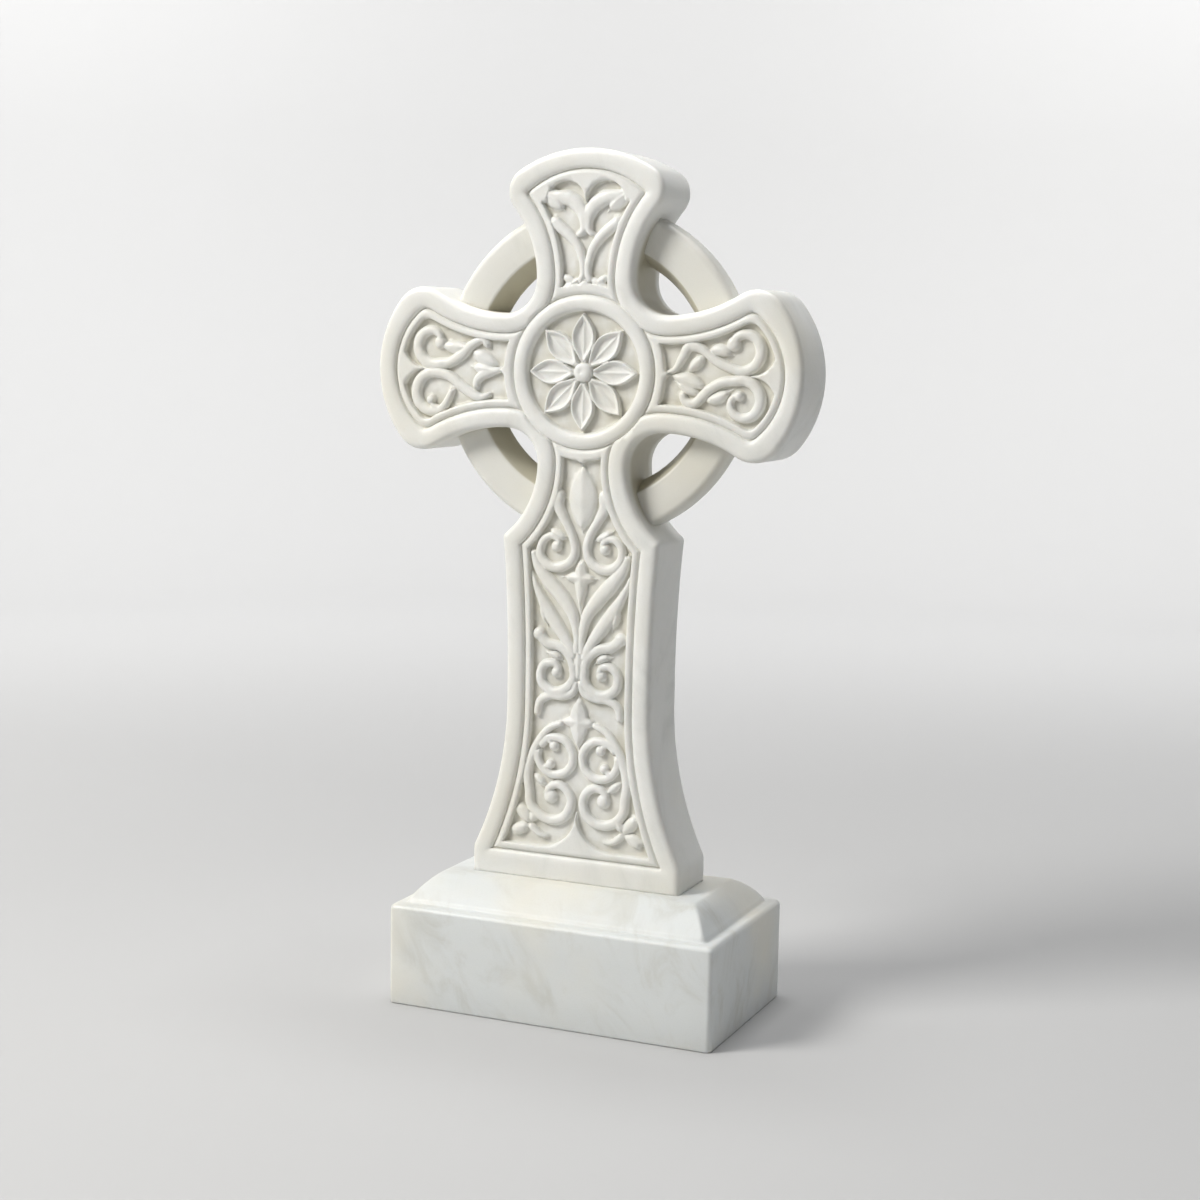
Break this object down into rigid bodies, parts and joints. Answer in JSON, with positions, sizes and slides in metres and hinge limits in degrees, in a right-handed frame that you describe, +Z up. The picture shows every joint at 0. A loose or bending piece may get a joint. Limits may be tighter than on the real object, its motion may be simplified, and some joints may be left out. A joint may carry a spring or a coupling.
{
  "type": "celtic cross gravestone",
  "caption": "Ringed celtic cross headstone carved from white marble, with a petalled boss and scrolling vines in sunk panels, standing on a plinth with a hipped top.",
  "frame": {"origin": "the middle of the plinth's underside, where the stone meets the ground", "axes": "+Z up, the carved front faces -Y, the arms run along X"},
  "size_m": [0.65, 0.29, 1.228],
  "materials": {
    "carved_marble": "fine white marble, carved and rubbed smooth, softly honed",
    "plinth_marble": "white marble with faint grey clouding, sawn, rubbed and softly honed"
  },
  "bodies": {
    "root": {"cross": "carved_marble", "plinth": "plinth_marble"}
  },
  "joints": []
}
